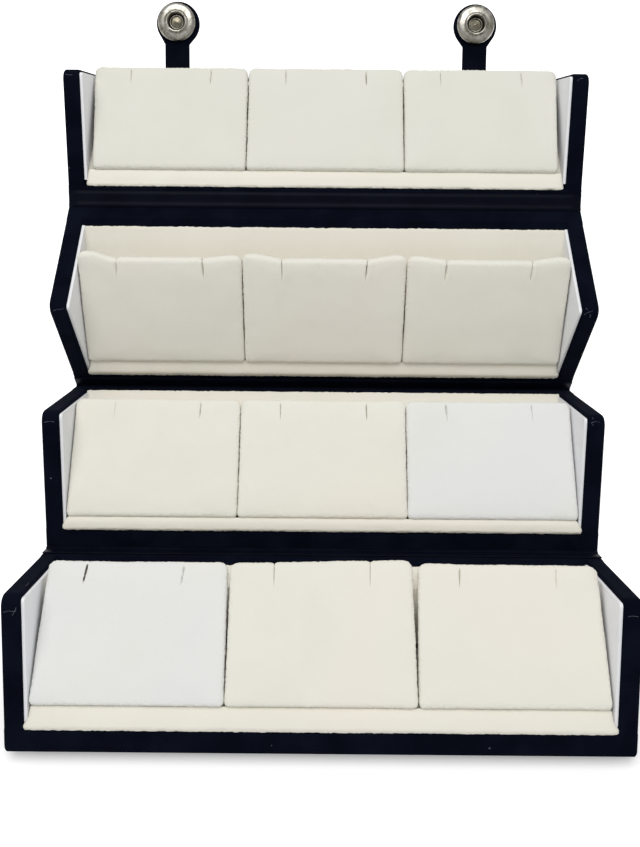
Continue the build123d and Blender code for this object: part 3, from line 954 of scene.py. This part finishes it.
def hinge_strip(pair, tray, run, side, next_tray, next_run):
    """A hinge cloth with its leaf in one tray and its other edge up the mitre of the next."""
    name = f"hinge_strip_{pair}"
    points = []
    for along, height in LEAF_PATH:
        points.append(PLACES[tray] @ Vector((0, (run + side * along) * MM, height * MM)))
    for along, height in MITRE_PATH:
        points.append(PLACES[next_tray] @ Vector((0, (next_run - side * along) * MM, height * MM)))
    bm = bmesh.new()
    line = [bm.verts.new((-CLOTH_HALF, point.y / MM, point.z / MM)) for point in points]
    edges = [bm.edges.new(ends) for ends in zip(line, line[1:])]
    pulled = bmesh.ops.extrude_edge_only(bm, edges=edges)["geom"]
    bmesh.ops.translate(bm, vec=(2 * CLOTH_HALF, 0, 0), verts=points_of(pulled))
    slice_along(bm, 4.0)
    bmesh.ops.recalc_face_normals(bm, faces=bm.faces)
    bmesh.ops.solidify(bm, geom=list(bm.faces), thickness=CLOTH_THICK)
    strip = finish_piece(
        name, bm, Matrix.Identity(4), tight_cloth, None, [f"hinge_cloth_{pair}"]
    )
    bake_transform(strip)


hinge_strip("3_4", 3, 0, 1, 4, HINGE_PITCH)
hinge_strip("2_3", 3, HINGE_PITCH, -1, 2, 0)
hinge_strip("1_2", 2, HINGE_PITCH, -1, 1, 0)

# %% [markdown]
# A strap is one flat strip with a round head for the snap. It is glued under the back edge of the
# upper tray and bends up from there. Its outline starts as a single point that is spun round the
# head, and the two ends of that arc are drawn down to the neck and the foot.

# %% Measures of a strap
STRAP_SPACING = 128.0
STRAP_WIDTH = 10.4
STRAP_THICK = 1.8
STRAP_GLUED = 24.0
STRAP_TO_SNAP = 22.8
HEAD_RADIUS = 9.2
HEAD_DROP = 0.3
STRAP_FOLD = 38.0
FOLD_RUN = HINGE_PITCH + HINGE_INSET + 0.3 + STRAP_THICK / 2
FOLD_HEIGHT = -STRAP_THICK / 2
STRAP_FOOT = HINGE_PITCH - STRAP_GLUED - FOLD_RUN
NECK_DROP = 8.9
ARC_STEPS = 44


def strap_outline(head_shift):
    """A flat strap as one face in millimetres, the fold line at y = 0 and its head up."""
    bm = bmesh.new()
    centre = Vector((head_shift, STRAP_TO_SNAP - HEAD_DROP, 0))
    half_gap = math.asin(STRAP_WIDTH / 2 / HEAD_RADIUS) + math.radians(20)
    towards = Vector((math.sin(half_gap), -math.cos(half_gap), 0))
    first = bm.verts.new(centre + towards * HEAD_RADIUS)
    turn = 2 * (math.pi - half_gap)
    arc = bmesh.ops.spin(
        bm, geom=[first], cent=centre, axis=(0, 0, 1), angle=turn, steps=ARC_STEPS
    )
    last = points_of(arc["geom_last"])[0]
    ends = []
    for vertex, side in ((first, 1), (last, -1)):
        for y in (STRAP_TO_SNAP - NECK_DROP, STRAP_FOOT):
            pulled = bmesh.ops.extrude_vert_indiv(bm, verts=[vertex])
            vertex = pulled["verts"][0]
            vertex.co = (side * STRAP_WIDTH / 2, y, 0)
        ends.append(vertex)
    bm.edges.new(ends)
    bmesh.ops.contextual_create(bm, geom=list(bm.edges))
    return bm


outline = strap_outline(0.0)
print("strap outline:", len(outline.verts), "points,", len(outline.faces), "face")
outline.free()

# %% [markdown]
# Each outline is pulled to the strap's thickness and its rims are rounded off. Cuts across it near
# the fold line let it bend there in one smooth curve. The two heads aren't quite in line with their
# strips, each in its own way.

# %% Straps
BEND_REACH = 3.2


def bend_strap(bm):
    """Bends the flat strap at its fold line, over a short curve."""
    fold = math.radians(STRAP_FOLD)
    reach = BEND_REACH
    radius = 2 * reach / fold
    end_y = -reach + radius * math.sin(fold)
    end_z = radius * (1 - math.cos(fold))
    for v in bm.verts:
        along, height = v.co.y, v.co.z
        share = min(1.0, max(0.0, (along + reach) / (2 * reach)))
        angle = fold * share
        if share in (0.0, 1.0):
            middle_y, middle_z = along * math.cos(angle), along * math.sin(angle)
        else:
            middle_y = -reach + radius * math.sin(angle)
            middle_z = radius * (1 - math.cos(angle))
            middle_y += (reach * math.cos(fold) - end_y) * share
            middle_z += (reach * math.sin(fold) - end_z) * share
        v.co.y = middle_y - height * math.sin(angle)
        v.co.z = middle_z + height * math.cos(angle)


strap_places = {}
for side, sign, head_shift in (("left", -1, 0.45), ("right", 1, -0.1)):
    bm = strap_outline(head_shift)
    pulled = bmesh.ops.extrude_face_region(bm, geom=list(bm.faces))["geom"]
    bmesh.ops.translate(bm, vec=(0, 0, STRAP_THICK), verts=points_of(pulled))
    bmesh.ops.translate(bm, vec=(0, 0, -STRAP_THICK / 2), verts=bm.verts)
    bmesh.ops.recalc_face_normals(bm, faces=bm.faces)
    rims = [e for e in bm.edges if abs(e.verts[0].co.z - e.verts[1].co.z) < 0.01]
    round_off(bm, rims, 0.5, 3)
    cut_across(bm, (-4.0, -3.2, -2.4, -1.6, -0.8, 0.0, 0.8, 1.6, 2.4, 3.2, 4.0))
    bend_strap(bm)
    fold_line = Vector((sign * STRAP_SPACING / 2, FOLD_RUN, FOLD_HEIGHT))
    fold_place = PLACES[1] @ Matrix.Translation(fold_line * MM)
    strap_places[side] = fold_place @ Matrix.Rotation(math.radians(STRAP_FOLD), 4, "X")
    strap = finish_piece(
        f"strap_{side}", bm, fold_place, navy_cloth, None,
        [f"{side}_strap_anchor", f"{side}_strap_flap"],
    )
    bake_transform(strap)
print("points in a strap:", len(strap.data.vertices))

# %% [markdown]
# A snap socket is pressed sheet metal: a broad ring with a rolled outer edge, a shallow dish, a
# raised bead round the hole and a wire spring inside it. All of it is round, so its section is
# drawn as one line of points and spun a full turn. The spring is a second, separate ring.

# %% Snap sockets
SOCKET_SECTION = [
    (7.2, 0.05), (7.75, 0.15), (7.98, 0.5), (8.0, 0.95), (7.9, 1.35), (7.65, 1.7), (7.3, 1.96),
    (6.8, 2.16), (6.2, 2.28), (5.6, 2.32), (5.1, 2.36), (4.8, 2.5), (4.6, 2.76), (4.35, 2.94),
    (4.1, 3.0), (3.85, 2.93), (3.65, 2.7), (3.52, 2.3), (3.46, 1.6), (3.44, 0.9), (3.44, 0.05),
    (7.2, 0.05),
]
HOLE_SECTION = [
    (0.0, 0.04), (3.42, 0.04), (3.42, 0.14), (3.05, 0.12), (2.8, 0.3), (2.5, 0.5), (1.8, 0.52),
    (0.9, 0.56), (0.4, 0.74), (0.0, 0.8),
]
SPRING_AT = (2.72, 0, 0.8)
SPRING_WIRE = 0.26
SPIN_STEPS = 72


def spun(bm):
    """Spins what is drawn a full turn about Z."""
    bmesh.ops.spin(
        bm, geom=list(bm.verts) + list(bm.edges), cent=(0, 0, 0), axis=(0, 0, 1),
        angle=2 * math.pi, steps=SPIN_STEPS, use_merge=True,
    )
    bmesh.ops.remove_doubles(bm, verts=bm.verts, dist=1e-4)
    bmesh.ops.recalc_face_normals(bm, faces=bm.faces)
    return bm


def pressed(points):
    """A round sheet-metal piece from a line of radius and height, in millimetres."""
    bm = bmesh.new()
    line = [bm.verts.new((radius, 0, height)) for radius, height in points]
    for pair in zip(line, line[1:]):
        bm.edges.new(pair)
    return spun(bm)


for side in ("left", "right"):
    body = f"{side}_strap"
    snap = Vector((0, STRAP_TO_SNAP, STRAP_THICK / 2))
    centre = strap_places[side] @ Matrix.Translation(snap * MM)
    rim, well = pressed(SOCKET_SECTION), pressed(HOLE_SECTION)
    socket = finish_piece(
        f"socket_{side}", rim, centre, nickel, body, [f"{side}_snap_socket"]
    )
    # The hole takes the darker plating, painted shade for its depth.
    finish_piece(f"socket_hole_{side}", well, centre, shaded_nickel, body, [])
    wire = bmesh.new()
    upright = Matrix.Rotation(math.radians(90), 4, "X")
    bmesh.ops.create_circle(wire, segments=14, radius=SPRING_WIRE, matrix=upright)
    bmesh.ops.translate(wire, vec=SPRING_AT, verts=wire.verts)
    finish_piece(f"socket_spring_{side}", spun(wire), centre, nickel, body, [])
print("points in a socket:", len(socket.data.vertices))

# %% [markdown]
# Where navy velvet is folded round a corner it parts in a short pale crease, and stray threads
# cling to it. Both are thin crooked lines that lie on the cloth. Each is a curve through a few
# points on the rim of a cheek, given as a distance across the box and a distance along the rim from
# its apex.

# %% Creases and threads on the navy velvet
pale_lint, shader = new_finish("pale lint", Roughness=0.95, Specular_IOR_Level=0.05)
nap = place_group(pale_lint, pile, -900, 0, Grain=2600.0, Patch=400.0, Depth=0.00005)
thin, thick = (0.035, 0.04, 0.06), (0.16, 0.17, 0.21)
fluff = mix_colours(pale_lint, nap.outputs["Patches"], thin, thick, -500, 100)
pale_lint.node_tree.links.new(fluff, shader.inputs["Base Color"])

APEX_RADIUS = 4.0
APEX_CENTRE = (HINGE_PITCH / 2, HINGE_PITCH / 2 + 0.7 - APEX_RADIUS * math.sqrt(2))
THREAD_LIFT = 0.03


def rim_point(across, along):
    """A point on the rim of a cheek, this far from its apex: down the front is negative."""
    half_arc = APEX_RADIUS * math.pi / 4
    inside = max(-half_arc, min(half_arc, along))
    angle = inside / APEX_RADIUS
    beyond = along - inside
    radius = APEX_RADIUS + THREAD_LIFT
    run = APEX_CENTRE[0] + radius * math.sin(angle) + beyond * math.cos(angle)
    height = APEX_CENTRE[1] + radius * math.cos(angle) - beyond * math.sin(angle)
    return Vector((across, run, height))


THREADS = {
    1: [[(-99.0, -1.0), (-97.6, -1.6), (-96.2, -1.2)], [(95.2, -2.0), (96.0, -0.8), (97.4, -0.9)]],
    2: [
        [(-98.6, -1.5), (-97.2, -0.6), (-95.4, -0.9), (-94.6, -0.3)],
        [(94.6, -1.2), (95.8, 0.2), (97.2, 0.1)],
        [(95.0, 1.4), (96.4, 0.2), (96.8, -1.4)],
        [(96.6, -2.2), (97.6, -1.2), (97.4, 0.6)],
    ],
    3: [
        [(-98.8, -3.0), (-97.0, -2.4), (-95.2, -2.8)],
        [(94.8, -1.6), (96.2, -0.6), (97.9, -1.2)],
        [(95.6, 0.6), (96.0, -0.8), (95.4, -2.4)],
    ],
    4: [
        [(-98.9, -4.2), (-97.4, -3.7), (-95.9, -4.0), (-94.9, -3.7)],
        [(-96.2, -5.2), (-95.4, -4.1), (-94.9, -2.6)],
        [(-95.0, 9.0), (-94.7, 10.6), (-94.9, 12.2)],
        [(94.9, -3.9), (96.4, -3.4), (98.2, -3.9)],
    ],
}
for tray, threads in THREADS.items():
    curve = bpy.data.curves.new(f"threads_{tray}", "CURVE")
    curve.dimensions = "3D"
    curve.bevel_depth = 0.07 * MM
    curve.bevel_resolution = 1
    for thread in threads:
        line = curve.splines.new("NURBS")
        line.points.add(len(thread) - 1)
        for point, (across, along) in zip(line.points, thread):
            point.co = (*(PLACES[tray] @ (rim_point(across, along) * MM)), 1.0)
        line.order_u = 3
        line.use_endpoint_u = True
    curve.materials.append(pale_lint)
    lines = new_object(f"threads_{tray}", curve)
    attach(lines, f"tray_{tray}")
print("threads on the velvet:", sum(len(threads) for threads in THREADS.values()))

# %% [markdown]
# The box stands on a plain pale floor under soft light from all round, with one large lamp above
# it. The floor takes the box's shadow. For the camera, and for what shines, it also glows, so that
# it comes out white: faintly along the box's front edge, where the shadow is, and more elsewhere.

# %% Floor, world and lamp
floor_bm = bmesh.new()
bmesh.ops.create_grid(floor_bm, x_segments=1, y_segments=1, size=3.0)
floor = new_object("floor", mesh_of("floor", floor_bm))
floor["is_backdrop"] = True

pale, shader = new_finish(
    "pale floor",
    Base_Color=(0.94, 0.94, 0.94, 1.0),
    Roughness=0.8,
    Specular_IOR_Level=0.1,
    Emission_Color=(1.0, 1.0, 1.0, 1.0),
)
tree = pale.node_tree
place = add_node(tree, "ShaderNodeTexCoord", -900, -500)
narrowed = add_node(
    tree, "ShaderNodeVectorMath", -700, -500, {1: (0.35, 1.0, 1.0), 2: (0.0, 0.13, 0.0)},
    operation="MULTIPLY_ADD",
)
away = add_node(tree, "ShaderNodeVectorMath", -600, -500, operation="LENGTH")
sweep = add_node(
    tree, "ShaderNodeMapRange", -500, -500,
    {"From Min": 0.045, "From Max": 0.09, "To Min": 0.18, "To Max": 0.6},
    interpolation_type="SMOOTHSTEP",
)
rays = add_node(tree, "ShaderNodeLightPath", -700, -200)
seen = add_node(tree, "ShaderNodeMath", -500, -200, operation="MAXIMUM")
glow = add_node(tree, "ShaderNodeMath", -300, -200, operation="MULTIPLY")
join(
    tree,
    (place, "Object", narrowed, 0),
    (narrowed, "Vector", away, 0),
    (away, "Value", sweep, "Value"),
    (rays, "Is Camera Ray", seen, 0),
    (rays, "Is Glossy Ray", seen, 1),
    (seen, "Value", glow, 0),
    (sweep, "Result", glow, 1),
    (glow, "Value", shader, "Emission Strength"),
)
floor.data.materials.append(pale)

world = bpy.data.worlds.new("studio")
world.use_nodes = True
bpy.context.scene.world = world
tree = world.node_tree
air = tree.nodes["Background"]
air.inputs["Color"].default_value = (1.0, 1.0, 1.0, 1.0)
rays = add_node(tree, "ShaderNodeLightPath", -700, 0)
level = add_node(tree, "ShaderNodeMapRange", -300, 0, {"To Min": 0.55, "To Max": 1.0})
join(tree, (rays, "Is Camera Ray", level, "Value"), (level, "Result", air, "Strength"))


def add_lamp(name, at, size, power, aim=(0, 0.04, 0.03)):
    """A large soft lamp at this place, pointed at the box."""
    data = bpy.data.lights.new(name, "AREA")
    data.size = size
    data.energy = power
    lamp = new_object(name, data)
    lamp.location = at
    lamp.rotation_euler = (Vector(aim) - Vector(at)).to_track_quat("-Z", "Y").to_euler()


add_lamp("top lamp", (-0.1, 0.05, 1.3), 0.9, 9.0)
bpy.context.scene.view_settings.view_transform = "Standard"
print("floor, world and lamp are up")

# %% [markdown]
# The last step measures the dressed box and prints its size.

# %% Measure and finish
low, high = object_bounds()
print("dressed box", [round(c, 4) for c in high - low])
